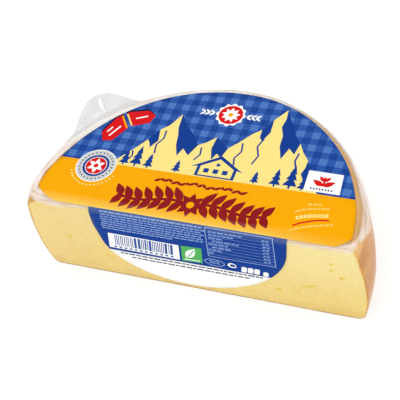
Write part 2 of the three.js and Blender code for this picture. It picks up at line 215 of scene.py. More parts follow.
def on_film(columns, down, lift):
    """Points at a distance from the film's smooth surface, for columns and lengths down"""
    radius, inset, z, tilt = profile(down)
    x, y, out_x, out_y = outline(columns, radius, inset, corner_fillet(z))
    level = lift * np.cos(tilt) - wear(x, y, radius, inset, z)
    return np.stack([x + out_x * level, y + out_y * level, z + lift * np.sin(tilt)], axis=-1)


def ring_columns(front_shares, corner_steps, arc_steps):
    """The columns of a whole ring"""
    stretches = [np.zeros(len(front_shares))]
    shares = [np.asarray(front_shares, float)]
    for stretch, steps in ((1, corner_steps), (2, arc_steps), (3, corner_steps)):
        stretches.append(np.full(steps, stretch))
        shares.append(np.arange(steps) / steps)
    return np.concatenate(stretches), np.concatenate(shares)


def around(columns):
    """Length along the outline to each column, in millimetres from the left corner"""
    x, y, _, _ = outline(columns, np.array(WIDEST_RADIUS), np.array(0.0), np.array(CUT_CORNER_FILLET))
    steps = np.hypot(np.diff(x, prepend=x[0]), np.diff(y, prepend=y[0]))
    return np.cumsum(steps)


WHOLE_RING = ring_columns(np.arange(150) / 150, 10, 560)
PERIMETER = around(WHOLE_RING)[-1]


def noise_at(places, size=1.0):
    """Noise from -1 to 1 at each place of an array, with features of about the given size"""
    values = [noise.noise(Vector(place) / size) for place in places.reshape(-1, 3)]
    return np.reshape(values, places.shape[:-1])


def level_noise(x, y, size, level=0.0):
    """Noise over a plane. Each level has noise of its own."""
    return noise_at(np.stack([x / size, y / size, np.full(x.shape, level)], axis=-1))


def crinkle(along, down, length, depth, seed):
    """Noise from -1 to 1 whose features are length long round the pack and depth deep"""
    turn = along / PERIMETER * 2 * pi
    reach = PERIMETER / (2 * pi) / length
    place = (reach * np.cos(turn) + seed, reach * np.sin(turn), down / depth)
    return noise_at(np.stack(np.broadcast_arrays(*place), axis=-1))


def swell(points):
    """Slow unevenness of the cheese under the film, in millimetres"""
    return 0.16 * noise_at(points, 17) + 0.07 * noise_at(points, 6)


# Mesh helpers


def to_frame(points):
    """Millimetres about the wheel's centre to metres in the frame"""
    moved = np.array(points, float).reshape(-1, 3)
    moved[:, 1] += WHEEL_CENTRE_Y
    return moved * MM


def linked(name, data):
    """A new object in the scene"""
    made = bpy.data.objects.new(name, data)
    bpy.context.scene.collection.objects.link(made)
    return made


def piece(name, points, faces, materials, node, face_inks=None, rim_start=None):
    """A new visible piece that stands for a node. Its faces from rim_start on are a thin
    sheet's rim and are shaded flat."""
    mesh = bpy.data.meshes.new(name)
    mesh.from_pydata(to_frame(points).tolist(), [], faces)
    for material in materials:
        mesh.materials.append(material)
    if face_inks is not None:
        mesh.polygons.foreach_set("material_index", face_inks)
    mesh.shade_smooth()
    for face in mesh.polygons[rim_start or len(faces):]:
        face.use_smooth = False
    mesh.update()
    made = linked(name, mesh)
    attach(made, "root")
    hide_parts(node)
    return made


def point_values(made, name, values):
    """One number at each point, for the material"""
    attribute = made.data.attributes.new(name, "FLOAT", "POINT")
    attribute.data.foreach_set("value", np.asarray(values, np.float32).ravel())


def flat_map(made, flat):
    """A thin sheet's flat places, for the material. They are the same on its front and back."""
    layer = made.data.uv_layers.new(name="flat")
    corners = np.empty(len(made.data.loops), np.int32)
    made.data.loops.foreach_get("vertex_index", corners)
    both = np.tile(flat * MAP_SCALE, (2, 1)).astype(np.float32)
    layer.data.foreach_set("uv", both[corners].ravel())


def ring_faces(row_count, ring_size):
    """Faces of a closed body: rows from the top down, capped by a middle point at each end"""
    faces = []
    following = [*range(1, ring_size), 0]
    for upper in range(0, (row_count - 1) * ring_size, ring_size):
        lower = upper + ring_size
        faces += [(lower + i, lower + j, upper + j, upper + i) for i, j in enumerate(following)]
    last = (row_count - 1) * ring_size
    top = last + ring_size
    for i, j in enumerate(following):
        faces += [(top, i, j), (top + 1, last + j, last + i)]
    return faces


def sheet_faces(front, count):
    """Faces of a thin closed sheet: its front, its back, whose points are numbered count
    higher, and its rim. Also the number of the first rim face, and the edges that the rim
    stands on with the front face of each."""
    back = [tuple(i + count for i in (face[0], *face[:0:-1])) for face in front]
    edges = {}
    for number, face in enumerate(front):
        for a, b in zip(face, face[1:] + face[:1]):
            if edges.pop((b, a), None) is None:
                edges[(a, b)] = number
    rim = [(b, a, a + count, b + count) for a, b in edges]
    return front + back + rim, 2 * len(front), edges


def film_sheet(name, middle, half, material):
    """A thin closed sheet of film about a grid of points. half is half its thickness along the
    grid's own normals."""
    normal = np.cross(np.gradient(middle, axis=0), np.gradient(middle, axis=1))
    normal /= np.linalg.norm(normal, axis=-1, keepdims=True)
    points = np.reshape([middle + normal * half, middle - normal * half], (-1, 3))
    rows, size = middle.shape[:2]
    corners = [r * size + i for r in range(rows - 1) for i in range(size - 1)]
    front = [(a, a + size, a + size + 1, a + 1) for a in corners]
    faces, rim_start, _ = sheet_faces(front, rows * size)
    return piece(name, points, faces, [material], "wrapped_cheese", rim_start=rim_start)


# Material helpers


class Graph:
    """Shader nodes of one material"""

    def __init__(self, name):
        self.material = bpy.data.materials.new(name)
        self.material.use_nodes = True
        self.tree = self.material.node_tree
        self.tree.nodes.clear()
        self.output = self.node("OutputMaterial")

    def node(self, kind, inputs=None, **settings):
        made = self.tree.nodes.new("ShaderNode" + kind)
        for key, value in settings.items():
            setattr(made, key, value)
        for key, value in (inputs or {}).items():
            if isinstance(value, bpy.types.NodeSocket):
                self.tree.links.new(value, made.inputs[key])
            else:
                made.inputs[key].default_value = value
        return made

    def finish(self, surface):
        self.tree.links.new(surface, self.output.inputs["Surface"])
        return self.material

    def principled(self, inputs):
        return self.finish(self.node("BsdfPrincipled", inputs).outputs[0])

    def scaled(self, place, factors):
        return self.node("VectorMath", {0: place, 1: factors}, operation="MULTIPLY").outputs[0]

    def millimetres(self):
        return self.scaled(self.node("TexCoord").outputs["Object"], (1 / MM,) * 3)

    def sides(self, place):
        """The three parts of a place"""
        return self.node("SeparateXYZ", {0: place}).outputs

    def flat_place(self):
        return self.node("UVMap", uv_map="flat").outputs[0]

    def flat_side(self, which):
        """Millimetres along the flat map's first side, 0, or its second, 1"""
        return self.times(self.sides(self.flat_place())[which], 1 / MAP_SCALE)

    def noise(self, place, size, detail=2.0, roughness=0.5, distortion=0.0):
        inputs = {"Vector": place, "Scale": 1 / size, "Detail": detail,
                  "Roughness": roughness, "Distortion": distortion}
        return self.node("TexNoise", inputs).outputs["Fac"]

    def value(self, name):
        return self.node("Attribute", attribute_name=name).outputs["Fac"]

    def math(self, operation, a, b, clamp=False):
        return self.node("Math", {0: a, 1: b}, operation=operation, use_clamp=clamp).outputs[0]

    def times(self, a, b, clamp=False):
        return self.math("MULTIPLY", a, b, clamp)

    def plus(self, a, b):
        return self.math("ADD", a, b)

    def step(self, value, low, high, start=0.0, end=1.0):
        """Smooth step from start at low to end at high"""
        inputs = {"Value": value, "From Min": low, "From Max": high, "To Min": start, "To Max": end}
        return self.node("MapRange", inputs, interpolation_type="SMOOTHSTEP").outputs["Result"]

    def mix(self, share, first, second, blend="MIX"):
        inputs = {0: share, 6: first, 7: second}
        return self.node("Mix", inputs, data_type="RGBA", blend_type=blend).outputs[2]

    def layers(self, colour, rows):
        """A colour with others laid over it in turn, each by its share"""
        for share, over in rows:
            colour = self.mix(share, colour, srgb(*over))
        return colour

    def bump(self, height, strength, distance):
        inputs = {"Height": height, "Strength": strength, "Distance": distance}
        return self.node("Bump", inputs).outputs["Normal"]


def cheese_material():
    graph = Graph("cheese_paste_and_rind")
    place = graph.millimetres()
    across, along, height = graph.sides(place)
    depth = graph.value("below_rind")

    cloud = graph.noise(place, 16, 3)
    grain = graph.noise(place, 1.4, 4, 0.65)
    speck = graph.noise(place, 0.7, 2)
    # Painted shade: the paste is darker towards the bottom and lighter at the top, as light falls
    # from above
    shaded_paste = graph.mix(graph.step(height, 2, 46), srgb(236, 203, 105), srgb(244, 224, 153))
    shaded_paste = graph.layers(shaded_paste, (
        # Painted shade: darker towards the left and in the lowest 9 mm
        (graph.step(across, 20, -60, 0, 0.65), (232, 196, 112)),
        (graph.step(height, 9, 0, 0, 0.75), (220, 182, 88)),
        (graph.step(cloud, 0.35, 0.7, 0, 0.3), (247, 222, 130)),
        (graph.step(grain, 0.35, 0.75, 0, 0.3), (253, 240, 182)),
        (graph.step(speck, 0.66, 0.8, 0, 0.3), (234, 200, 100)),
        (graph.step(graph.value("eye"), 0.1, 0.9, 0, 0.85), (234, 206, 58)),
    ))

    blotch = graph.noise(place, 9, 4, 0.6, 0.6)
    fine = graph.noise(place, 1.8, 4, 0.7)
    near_top = graph.step(height, 40, 46.5, 0, 0.75)
    near_cut = graph.step(along, -36, -39.5, 0, 0.85)
    rind = graph.mix(graph.step(blotch, 0.3, 0.7), srgb(192, 120, 32), srgb(210, 146, 52))
    rind = graph.layers(rind, (
        (graph.step(fine, 0.5, 0.75, 0, 0.4), (186, 104, 30)),
        (graph.step(fine, 0.45, 0.2, 0, 0.35), (238, 194, 122)),
        (graph.times(near_top, graph.step(across, -70, -60)), (242, 190, 116)),
        (graph.times(near_cut, graph.step(across, -60, -68)), (206, 162, 84)),
    ))

    ragged = graph.plus(depth, graph.times(graph.plus(grain, -0.5), 0.8))
    thick = graph.times(ragged, graph.step(height, 22, 38, 1.9, 1.1))
    # Painted shadow: the paste under the rind turns dark brown along the base, where the cheese meets
    # the table
    under_rind_and_base_shadow = graph.mix(graph.step(height, 3, 0.8), srgb(228, 186, 94), srgb(122, 94, 46))
    under_rind_and_base_shadow = graph.mix(graph.step(thick, 0.45, 1.8), under_rind_and_base_shadow, shaded_paste)

    on_rind = graph.step(depth, 0.6, 0.1)
    roughness = graph.plus(graph.times(on_rind, 0.12), graph.times(grain, 0.2))
    relief = graph.plus(graph.times(grain, 0.35), graph.times(fine, on_rind))
    return graph.principled({
        "Base Color": graph.mix(graph.step(thick, 0.3, 0.6), rind, under_rind_and_base_shadow),
        "Roughness": graph.plus(roughness, 0.38),
        "Specular IOR Level": 0.2,
        "Subsurface Weight": 0.12,
        "Subsurface Radius": (1.0, 0.6, 0.25),
        "Subsurface Scale": 0.0025,
        "Normal": graph.bump(relief, 0.25, 0.0003),
    })


def film_finish(graph, milk, tint, relief, strength, roughness, rim=0.0):
    """Clear glossy film, hazy where there is milk. rim is how much painted shade darkens the haze
    where it turns away from view."""
    normal = graph.bump(relief, strength, 0.00012)
    facing = graph.node("LayerWeight", {"Blend": 0.5, "Normal": normal}).outputs["Facing"]
    if rim:
        # Painted shade: the haze turns grey-tan towards the edges that face away from view
        tint = graph.mix(graph.step(facing, 0.5, 1, 0, rim), tint, srgb(190, 172, 154))
    inputs = {"Base Color": tint, "Roughness": 0.3, "Specular IOR Level": 0.35, "Normal": normal}
    haze = graph.node("BsdfPrincipled", inputs).outputs[0]
    inputs = {"Color": (1, 1, 1, 1), "Roughness": roughness, "Normal": normal}
    gloss = graph.node("BsdfGlossy", inputs).outputs[0]
    through = graph.node("BsdfTransparent", {"Color": (0.99, 0.99, 0.985, 1)}).outputs[0]
    shine = graph.plus(graph.times(graph.math("POWER", facing, 5.0), 0.4), 0.02)
    clear = graph.node("MixShader", {0: shine, 1: through, 2: gloss}).outputs[0]
    return graph.finish(graph.node("MixShader", {0: milk, 1: clear, 2: haze}).outputs[0])


def tight_film_material():
    graph = Graph("clear_film")
    place = graph.millimetres()
    milk = graph.step(graph.noise(place, 6, 3, 0.6), 0.35, 0.75, 0.0, 0.03)
    wrinkle = graph.noise(place, 1.6, 3, 0.6, 0.8)
    return film_finish(graph, milk, srgb(248, 243, 236), wrinkle, 0.05, 0.12)


def seam_film_material():
    """Milky along its folds, which run with the seam, and whiter round the back"""
    graph = Graph("seam_film")
    streak = graph.noise(graph.scaled(graph.flat_place(), (9, 80, 0)), 1, 3, 0.5, 0.15)
    milk = graph.times(graph.value("seam"), graph.plus(streak, 0.35), clamp=True)
    tint = graph.mix(graph.step(streak, 0.38, 0.62), srgb(255, 226, 204), srgb(255, 243, 232))
    along = graph.flat_side(0)
    back = graph.times(graph.step(along, 200, 240, 0, 0.7), graph.step(along, 388, 365))
    tint = graph.mix(back, tint, srgb(248, 246, 242))
    return film_finish(graph, graph.times(milk, 0.92), tint, streak, 0.1, 0.2, 0.6)


def tab_film_material():
    graph = Graph("tab_film")
    cloud = graph.noise(graph.millimetres(), 9, 2)
    crease = graph.value("seam")
    # Painted highlight: along the crease the film turns milky white
    milk = graph.math("MAXIMUM", graph.step(cloud, 0.3, 0.7, 0.2, 0.3), crease, clamp=True)
    tint = graph.mix(graph.step(crease, 0.3, 0.8), srgb(195, 195, 196), srgb(255, 255, 255))
    return film_finish(graph, milk, tint, cloud, 0.05, 0.15)


def print_finish(graph, colour):
    """Varnished print on paper: faint mottle, fine paper relief and a soft gloss"""
    place = graph.millimetres()
    mottle = graph.noise(place, 5, 3, 0.6)
    fibre = graph.noise(place, 0.5, 3, 0.6)
    darker = graph.mix(1.0, colour, (0.95, 0.95, 0.955, 1), "MULTIPLY")
    return graph.principled({
        "Base Color": graph.mix(graph.step(mottle, 0.35, 0.75, 0, 0.5), colour, darker),
        "Roughness": graph.plus(graph.times(fibre, 0.14), 0.3),
        "Specular IOR Level": 0.03,
        "Normal": graph.bump(fibre, 0.12, 0.00006),
    })


def ink_material(name, colour):
    """An ink with a painted sheen that makes it a little paler just below the crease"""
    graph = Graph("ink_" + name)
    along = graph.flat_side(1)
    # Painted sheen: a pale grey-blue over the ink where the bend would catch the light
    crease_sheen = graph.times(graph.step(along, -4.5, -0.4, 0, 0.13), graph.step(along, 5, 1))
    return print_finish(graph, graph.mix(crease_sheen, srgb(*colour), srgb(205, 215, 215)))


CHECK_PERIOD = 7.06
CHECK_MIDDLE = (0.5, 6.15)


def check_material():
    """Blue check: stripes both ways, lightest where two cross"""
    graph = Graph("ink_check")
    stripes = []
    for side, middle in enumerate(CHECK_MIDDLE):
        shifted = graph.plus(graph.flat_side(side), -middle)
        wave = graph.math("PINGPONG", shifted, CHECK_PERIOD / 2)
        stripes.append(graph.step(wave, CHECK_PERIOD / 4 + 0.15, CHECK_PERIOD / 4 - 0.15))
    level = graph.times(graph.plus(*stripes), 0.5)
    colour = graph.mix(graph.step(level, 0, 0.5), srgb(24, 68, 150), srgb(44, 88, 168))
    return print_finish(graph, graph.mix(graph.step(level, 0.5, 1), colour, srgb(76, 120, 192)))


def orange_material():
    """Orange with a painted highlight that pales it towards the crease, more on the left, for the
    gloss on the bend
    """
    graph = Graph("ink_orange")
    along = graph.flat_side(1)
    # Painted highlight: the orange pales to light yellow near the crease, where the bend would catch
    # the light
    crease_highlight = graph.plus(graph.step(along, 5.5, 1.5, 0, 0.25), graph.step(along, 1.8, -0.2, 0, 0.3))
    crease_highlight = graph.times(crease_highlight, graph.step(graph.flat_side(0), 68, 25, 0.3, 1))
    return print_finish(graph, graph.mix(crease_highlight, srgb(250, 171, 0), srgb(255, 234, 130)))


# Cheese


def spaced(start, end, marks, coarse, fine, reach):
    """Places from start to end, close together near the marks"""
    places = [start]
    while places[-1] < end:
        nearest = min(abs(places[-1] - mark) for mark in marks)
        places.append(places[-1] + fine + (coarse - fine) * float(ramp(reach, 2 * reach, nearest)))
    stretch = (end - start) / (places[-1] - start)
    return start + (np.array(places) - start) * stretch


def down_at(z):
    """Length down from the top's edge to a height on the side"""
    return SHOULDER_END + HEIGHT - SHOULDER_FILLET - z


def eye_share(x, z):
    """Share along the straight cut of a place on the cut face"""
    radius, inset, _, _ = profile(down_at(z))
    reach = float(front_reach(radius, inset, corner_fillet(z)))
    return (x + reach + LEFT_BULGE) / (2 * reach + LEFT_BULGE)


def eye_depths(x, z):
    """Depth of the eyes under the cut face, and how far inside an eye a point is, 0 to 1"""
    depth = np.zeros(x.shape)
    inside = np.zeros(x.shape)
    for number, (eye_x, eye_z, half_width, half_height, deep) in enumerate(EYES):
        across = (x - eye_x) / half_width
        up = (z - eye_z) / half_height
        angle = np.arctan2(up, across)
        wobble = 1 + 0.14 * np.sin(3 * angle + number) + 0.08 * np.sin(5 * angle + 2 * number)
        away = np.hypot(across, up) / wobble
        hollow = np.sqrt(np.clip(1 - away**2, 0, 1))
        lip = 0.08 * np.exp(-((away - 1.1) / 0.3) ** 2)
        depth = np.maximum(depth, deep * hollow) - lip * (hollow == 0) * 0.3
        inside = np.maximum(inside, 1 - ramp(0.75, 1.15, away))
    return depth, inside


# The middle of the half wheel, from front to back
MIDDLE_Y = (WIDEST_RADIUS - CUT_OFFSET) / 2

# Rows of the base fillet, and a last one that is drawn in under the base
BASE_ROWS = np.append(np.linspace(SIDE_END, BASE_END, 8)[1:], BASE_END)


def row_grid(columns, *rows):
    """Lengths down from the top's edge, the same all along each row"""
    down = np.concatenate(rows)
    return np.broadcast_to(down[:, None], (len(down), len(columns[0])))


def closed_body(name, points, gap, material):
    """A closed piece from rows of points, with its flat ends a gap inside the pack's. Its last
    row is drawn halfway in towards the middle."""
    points[-1, :, :2] = (points[-1, :, :2] + (0, MIDDLE_Y)) / 2
    ends = [(0, MIDDLE_Y, HEIGHT - gap), (0, MIDDLE_Y, gap)]
    all_points = np.concatenate([points.reshape(-1, 3), ends])
    return piece(name, all_points, ring_faces(*points.shape[:2]), [material], "wrapped_cheese")


def make_cheese():
    shares = [eye_share(eye[0], eye[1]) for eye in EYES]
    columns = ring_columns(spaced(0.0, 1.0, shares, 0.0062, 0.0019, 0.014)[:-1], 8, 230)
    shoulder = np.linspace(-14, SHOULDER_END, 16)[:-1]
    side = spaced(SHOULDER_END, SIDE_END, [down_at(eye[1]) for eye in EYES], 1.0, 0.26, 1.1)
    down = row_grid(columns, [-30.0, -22.0], shoulder, side, BASE_ROWS)
    smooth = on_film(columns, down, -FILM_GAP)
    points = on_film(columns, down, -FILM_GAP + swell(smooth))
    on_cut = (columns[0] == 0)[None, :] & (down > SHOULDER_END) & (down <= SIDE_END)
    depth, inside = eye_depths(points[..., 0], points[..., 2])
    points[..., 1] += np.where(on_cut, depth, 0)
    made = closed_body("cheese", points, FILM_GAP, cheese_material())

    x, y, z = np.moveaxis(points, -1, 0)
    from_side = side_radius(z) - FILM_GAP - np.hypot(x, y)
    below = np.minimum(from_side, np.minimum(z, HEIGHT - z) - FILM_GAP)
    wedge = (HEIGHT - z) / RIND_WEDGE[1] + (x + WIDEST_RADIUS - 2.2) / RIND_WEDGE[0]
    below = np.clip(below * ramp(0.85, 1.1, wedge), 0, 10)
    below = np.where((columns[0] == 2)[None, :], 0, below)
    point_values(made, "below_rind", np.append(below, [0, 0]))
    point_values(made, "eye", np.append(np.where(on_cut, inside, 0), [0, 0]))


# Film


# The seam from the right of the label's flap round to its left: length along the outline, how
# far down it hangs, how loose it is, how far past the label it is still clear, and how milky
SEAM = np.array([
    (121, 4.6, 0, -0.8, 0.6), (124, 4.6, 0, -0.8, 0.7), (128, 4.8, 0.2, -0.8, 0.8),
    (140, 5.0, 0.25, -0.8, 0.85), (148, 4.2, 0.6, -0.5, 0.9), (151.5, 4.6, 0.7, -0.3, 0.9),
    (153, 3.2, 0.7, 0.2, 0.95), (155.5, 2.6, 0.8, 0.6, 0.95), (157, 2.8, 0.8, 1.0, 0.9),
    (160, 3.9, 0.8, 1.5, 0.8), (163, 5.8, 0.8, 1.6, 0.75), (166, 7.6, 0.8, 1.6, 0.75),
    (172, 10.2, 0.8, 1.6, 0.7), (185, 10, 0.8, 1.3, 0.8), (200, 9.0, 0.4, 0.9, 0.8),
    (225, 8.0, 0.05, 0.6, 0.75), (250, 7.0, 0, -0.6, 0.8), (285, 7.4, 0, -1.0, 1.0),
    (320, 8.0, 0, -1.0, 1.1), (345, 8.0, 0.4, -0.6, 1.2), (360, 8.6, 1.1, -0.3, 1.3),
    (371, 8.6, 1.2, 0, 1.3), (378, 8.6, 0.8, 0, 1.2), (385, 8.4, 0.8, 0, 1.15),
    (392, 8.0, 0.8, 0, 1.1), (398, 7.0, 0.6, -0.2, 1.1), (402, 5.7, 0.15, -0.4, 1.1),
    (405.5, 4.0, 0.1, -0.6, 1.1), (409, 4.8, 0.25, -0.8, 1.0), (412, 5.2, 0.25, -0.8, 0.95),
    (416, 5.4, 0.25, -0.8, 0.85), (421, 5.2, 0.25, -0.8, 0.85), (430, 4.6, 0.2, -0.6, 0.8),
    (434, 4.2, 0, -0.6, 0.7), (437, 4.2, 0, -0.6, 0.6),
])
SEAM_STEPS = 1100
SEAM_ROWS = 34

# The seam lies at least this far off the tight film
SEAM_LIFT = 0.07
SEAM_HALF_THICKNESS = 0.03


def corner_edge(u):
    """Along the flat label, where its front edge lies beside the flap and round the corners"""
    edge = np.zeros(np.shape(u))
    for side, reach, (width, depth) in (
        (1, LABEL_RIGHT, LABEL_RIGHT_CORNER),
        (-1, LABEL_LEFT, LABEL_LEFT_CORNER),
    ):
        share = np.clip((side * np.asarray(u) - reach + width) / width, 0, 1)
        edge = np.maximum(edge, depth * (1 - (1 - share**CORNER_POWER) ** (1 / CORNER_POWER)))
    return edge


def label_end(columns):
    """How far down from the top's edge the label reaches at each column"""
    end = np.full(len(columns[0]), -12.0)
    for down in np.arange(-12.0, HALF_EDGE + 0.1, 0.1):
        x, y, _ = np.moveaxis(on_film(columns, np.full(len(end), down), 0.0), -1, 0)
        v = np.where(columns[0] == 0, HALF_EDGE - down, y + CREASE_REACH)
        angle = np.degrees(np.arctan2(np.maximum(v - CREASE_REACH, 0), x))
        inside = np.hypot(x, np.maximum(v - CREASE_REACH, 0)) < np.interp(angle, *LABEL_EDGE.T)
        inside &= v > corner_edge(x) - 0.05
        end = np.where(inside, down, end)
    window = np.ones(9) / 9
    return np.convolve(np.pad(end, 4, mode="edge"), window, mode="valid")


def make_film():
    columns = ring_columns(spaced(0.0, 1.0, [0.0, 1.0], 0.0062, 0.003, 0.1)[:-1], 10, 400)
    by_seam = np.linspace(-1.5, 13.5, 40)
    side = np.linspace(13.5, SIDE_END, 22)[1:]
    down = row_grid(columns, [-30.0, -18.0, -8.0], by_seam, side, BASE_ROWS)
    below_seam = ramp(SHOULDER_END, 8, down) * ramp(20, 10, down) * (columns[0] == 2)[None, :]
    fold = 1 - 2.2 * np.abs(crinkle(around(columns)[None, :], down, 16.0, 3.0, 0.0))
    smooth = on_film(columns, down, 0.0)
    points = on_film(columns, down, swell(smooth) + below_seam * 0.06 * fold)
    points[..., 2] = np.maximum(points[..., 2], 0)
    closed_body("film", points, 0, tight_film_material())


def columns_at(along):
    """Columns at lengths along the outline, which may run past the left corner"""
    length = around(WHOLE_RING)
    order = np.interp(np.mod(along, PERIMETER), length, np.arange(len(length)))
    low = np.minimum(order.astype(int), len(length) - 2)
    stretch = WHOLE_RING[0][low]
    same = WHOLE_RING[0][low + 1] == stretch
    following = np.where(same, WHOLE_RING[1][low + 1], 1.0)
    share = WHOLE_RING[1][low] + (following - WHOLE_RING[1][low]) * (order - low)
    return stretch, share


def make_seam():
    """The seam's loose edge: a folded strip of film that lies over the shoulder"""
    along = np.linspace(SEAM[0, 0], SEAM[-1, 0], SEAM_STEPS)
    columns = columns_at(along)
    label = label_end(columns)
    hang, loose, clear, milky = [np.interp(along, SEAM[:, 0], column) for column in SEAM.T[1:]]
    ragged = crinkle(along, 0.0, 8.0, 1, 7.0) + 0.4 * crinkle(along, 0.0, 2.5, 1, 9.0)
    first = label - 0.3
    last = np.maximum(hang + 0.6 * ragged * loose, first + 1.0)
    share = np.linspace(0, 1, SEAM_ROWS)[:, None]
    down = first + (last - first) * share
    fold = 1 - 2.4 * np.abs(crinkle(along, down, 15.0, 2.4, 3.0))
    pleat = 1 - 2.4 * np.abs(crinkle(along, down, 4.5, 7.0, 5.0))
    free = ramp(0.3, 2.2, down - label)
    lift = SEAM_LIFT + free * loose * (0.35 + 0.55 * share + 0.3 * fold + 0.14 * pleat)
    lift = np.maximum(lift + np.maximum(1 - loose, 0) * 0.03 * free, SEAM_LIFT)
    middle = on_film(columns, down, lift + swell(on_film(columns, down, 0.0)))
    made = film_sheet("seal_seam", middle, SEAM_HALF_THICKNESS, seam_film_material())
    milk = ramp(label + clear, label + clear + 1.2, down) * milky
    milk = milk * (0.45 + 0.55 * ramp(last, last - 1.6, down))
    point_values(made, "seam", [milk, 0 * milk])
    flat_map(made, np.stack(np.broadcast_arrays(along, down), axis=-1).reshape(-1, 2))


# Opening tab

# Outer edge of the tab: direction in degrees and radius
TAB_EDGE = np.array([
    (123.0, 73.5), (127.0, 74.5), (130.8, 79.3), (133.1, 82.8), (135.9, 86.2), (138.4, 87.4),
    (141.7, 86.5), (145.3, 83.5), (148.5, 80.2), (151.2, 77.4), (154.5, 75.8), (158.0, 75.1),
    (162.0, 74.2),
])
TAB_MIDDLE = 139.5
TAB_SPREAD = 15.0
TAB_ROOT_RADIUS = 72.4
TAB_LENGTH = 15.6
TAB_RISE = 3.2
TAB_CURL = 1.6
TAB_SINK = 0.5
TAB_HALF_THICKNESS = 0.06
TAB_STEPS_ROUND = 150
TAB_STEPS_OUT = 50

# The crease across the tab, raised as a ridge and painted white as a highlight, from its outer end
# inwards: x and y
TAB_CREASE = np.array([(-63.4, 56.4), (-62.2, 54.0), (-60.4, 51.8), (-58.2, 49.9)])


def make_tab():
    angle = np.linspace(TAB_EDGE[0, 0], TAB_EDGE[-1, 0], TAB_STEPS_ROUND)
    edge = np.interp(angle, *TAB_EDGE.T)
    edge = np.convolve(np.pad(edge, 5, mode="edge"), np.ones(11) / 11, mode="valid")[:, None]
    angle = angle[:, None]
    turn = np.clip((angle - TAB_MIDDLE) / TAB_SPREAD, -1, 1)
    slope = (TAB_RISE - TAB_CURL * turn**2) / TAB_LENGTH
    beyond = (edge - TAB_ROOT_RADIUS) * np.linspace(0, 1, TAB_STEPS_OUT)
    x = (TAB_ROOT_RADIUS + beyond) * np.cos(np.radians(angle))
    y = (TAB_ROOT_RADIUS + beyond) * np.sin(np.radians(angle))
    away = np.full(x.shape, 9.0)
    for k in np.linspace(0, 1, 40):
        at = [np.interp(k * 3, range(4), side) for side in TAB_CREASE.T]
        width = 0.35 + 0.65 * sin(pi * min(k * 1.15, 1.0))
        away = np.minimum(away, np.hypot(x - at[0], y - at[1]) / width)
    crease = ramp(1.25, 0.6, away)
    z = HEIGHT - TAB_SINK + slope * beyond + 0.25 * crease
    z += ramp(0, 6, beyond) * 0.5 * level_noise(x, y, 9)
    middle = np.stack([x, y, z], axis=-1)
    made = film_sheet("opening_tab", middle, TAB_HALF_THICKNESS, tab_film_material())
    near_root = 0.45 * ramp(4.4, 2.8, beyond)
    fold_line = 0.35 * np.exp(-((beyond - 3.8) / 0.35) ** 2) * (angle < 142)
    # The crease is painted white as a highlight; the root and a fold line are whiter film
    white = np.maximum(np.maximum(crease, near_root), fold_line)
    point_values(made, "seam", [white, white])


# Print
# Areas are drawn in order on the flat label: across from its middle, and along from the
# crease, positive to the back of the top and negative down the flap.

areas = []

# The print on the flap leans to the right by this much of its height
FLAP_LEAN = 0.187


def area(ink, points):
    """Adds an area of ink, with its corners turned anticlockwise"""
    corners = [(float(u), float(v)) for u, v in points]
    following = corners[1:] + corners[:1]
    doubled = sum(a[0] * b[1] - b[0] * a[1] for a, b in zip(corners, following))
    areas.append((ink, corners if doubled > 0 else corners[::-1]))


def ellipse(u, v, half_u, half_v, steps=32, start=0.0):
    turns = [start + 2 * pi * k / steps for k in range(steps)]
    return [(u + half_u * cos(t), v + half_v * sin(t)) for t in turns]


def box(u, v, width, height, lean=0.0):
    """A bar from its lower left corner, leaning to the right"""
    shift = lean * height
    return [(u, v), (u + width, v), (u + width + shift, v + height), (u + shift, v + height)]


def rounded_box(u, v, width, height, radius):
    """A bar from its lower left corner, with round corners"""
    middles = [(u + width - radius, v + radius), (u + width - radius, v + height - radius),
               (u + radius, v + height - radius), (u + radius, v + radius)]
    points = []
    for quarter, (middle_u, middle_v) in enumerate(middles):
        for turn in np.linspace(quarter - 1, quarter, 5) * pi / 2:
            points.append((middle_u + radius * cos(turn), middle_v + radius * sin(turn)))
    return points


def leaf(u, v, angle, length, width, steps=8):
    """A pointed leaf from its stalk"""
    points = []
    for k in [*range(steps + 1), *range(1 - steps, 0)]:
        share = abs(k) / steps
        half = copysign(width / 2, k) * sin(pi * share**0.8)
        a = share * length
        points.append((u + a * cos(angle) - half * sin(angle),
                       v + a * sin(angle) + half * cos(angle)))
    return points


def stroke(points, width):
    """A band of the given width along a line of points"""
    line = np.array(points, float)
    way = np.gradient(line, axis=0)
    way /= np.linalg.norm(way, axis=1, keepdims=True)
    side = np.stack([-way[:, 1], way[:, 0]], axis=1) * width / 2
    return np.concatenate([line + side, (line - side)[::-1]]).tolist()


def flower(ink, middle_ink, u, v, reach, petals, width):
    for k in range(petals):
        angle = pi / 2 + 2 * pi * k / petals
        area(ink, leaf(u, v, angle, reach, width))
    area(middle_ink, ellipse(u, v, reach * 0.27, reach * 0.27, 16))


def bars(start, end, seed, shortest, longest, gap):
    """Start and length of random short bars that stand for a line of text"""
    chance = random.Random(seed)
    while start < end - shortest:
        long = min(chance.uniform(shortest, longest), end - start)
        yield start, long
        start += long + gap


def words(ink, u, v, width, height, *chances):
    """A row of bars in place of a line of text on the flap"""
    for at, long in bars(u, u + width, *chances):
        area(ink, box(at, v, long, height, FLAP_LEAN))


def bent_words(ink, line, height, seed, shortest=1.0, longest=2.6, gap=0.4):
    """A row of bars along a curved line of points, given from left to right"""
    line = np.array(line, float)
    for at, long in bars(line[0, 0], line[-1, 0], seed, shortest, longest, gap):
        places = np.linspace(at, at + long, 4)
        area(ink, stroke(np.stack([places, np.interp(places, *line.T)], axis=1), height))


# Right half of a fir from its foot up, as shares of its half width and height
FIR = ((0.15, 0), (0.15, 0.12), (1, 0.12), (0.35, 0.38), (0.75, 0.38), (0.2625, 0.64), (0.5, 0.62))


def fir(ink, u, v, height, width):
    half = [(width / 2 * a, height * b) for a, b in FIR]
    right = [(u + a, v + b) for a, b in half]
    left = [(u - a, v + b) for a, b in reversed(half)]
    area(ink, right + [(u, v + height)] + left)


# Foot of the mountains
GROUND = 24.8


